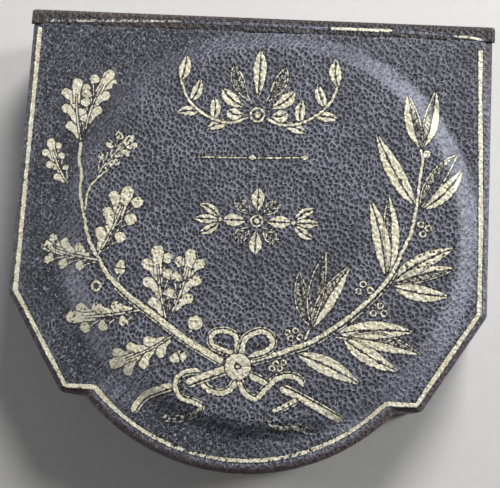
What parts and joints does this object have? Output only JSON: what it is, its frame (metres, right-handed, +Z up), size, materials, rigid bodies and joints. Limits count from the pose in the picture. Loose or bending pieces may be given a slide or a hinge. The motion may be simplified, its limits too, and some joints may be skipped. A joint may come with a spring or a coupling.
{
  "type": "medal presentation case",
  "caption": "Leather covered wooden case for a round medal, with a domed gold tooled lid, rear butt hinges, velvet well, satin pad and a push button clasp.",
  "frame": {"origin": "on the resting face under the case, in the middle of its width and 42 mm in front of its back", "axes": "+X along the hinge line to the right, +Y from the round front towards the hinges, +Z up out of the lid"},
  "size_m": [0.0876, 0.0854, 0.021],
  "materials": {
    "case_leather": "dark blue-black crushed grain, gold tooled",
    "case_wood": "plain limewood",
    "bottom_paper": "marbled paper",
    "rim_paper": "moire paper",
    "velvet": "silk velvet",
    "satin": "cream satin",
    "ribbon_silk": "ribbed silk ribbon",
    "collar_gilt": "gilt",
    "brass": "aged brass",
    "steel": "plain steel"
  },
  "bodies": {
    "base": {"base_shell": "case_wood", "base_leather": "case_leather", "base_bottom_sheet": "bottom_paper", "base_rim_facing": "velvet", "collar_hoop": "collar_gilt", "well_ring": "velvet", "well_floor_pad": "velvet", "lift_ribbon": "ribbon_silk", "hinge_leaf_base_left": "brass", "hinge_leaf_base_right": "brass", "hinge_pin_left": "steel", "hinge_pin_right": "steel", "hinge_nail_base_left_1": "brass", "hinge_nail_base_left_2": "brass", "hinge_nail_base_right_1": "brass", "hinge_nail_base_right_2": "brass", "latch_plate": "brass", "latch_plate_screw_left": "brass", "latch_plate_screw_right": "brass", "button_bush": "brass", "latch_spring": "steel", "spine_strip": "case_leather"},
    "lid": {"lid_shell": "case_wood", "lid_leather": "case_leather", "lid_rim_facing": "rim_paper", "lid_lining_hoop": "satin", "lid_satin_pad": "satin", "hinge_leaf_lid_left": "brass", "hinge_leaf_lid_right": "brass", "hinge_nail_lid_left_1": "brass", "hinge_nail_lid_left_2": "brass", "hinge_nail_lid_right_1": "brass", "hinge_nail_lid_right_2": "brass", "catch_hook": "brass", "catch_hook_screw_left": "brass", "catch_hook_screw_right": "brass"},
    "button": {"push_button": "brass", "latch_bolt": "steel"}
  },
  "joints": [
    {"name": "lid_hinge", "type": "hinge", "parent": "base", "child": "lid", "pos_m": [0, 0.04, 0.0096], "axis": [-1, 0, 0], "range_deg": [0, 100], "deforming": ["spine_strip"]},
    {"name": "button_slide", "type": "slide", "parent": "base", "child": "button", "axis": [0, 1, 0], "range_m": [0, 0.0009], "stiffness_N_per_m": 400, "springref_m": -0.0004, "deforming": ["latch_spring"]}
  ]
}
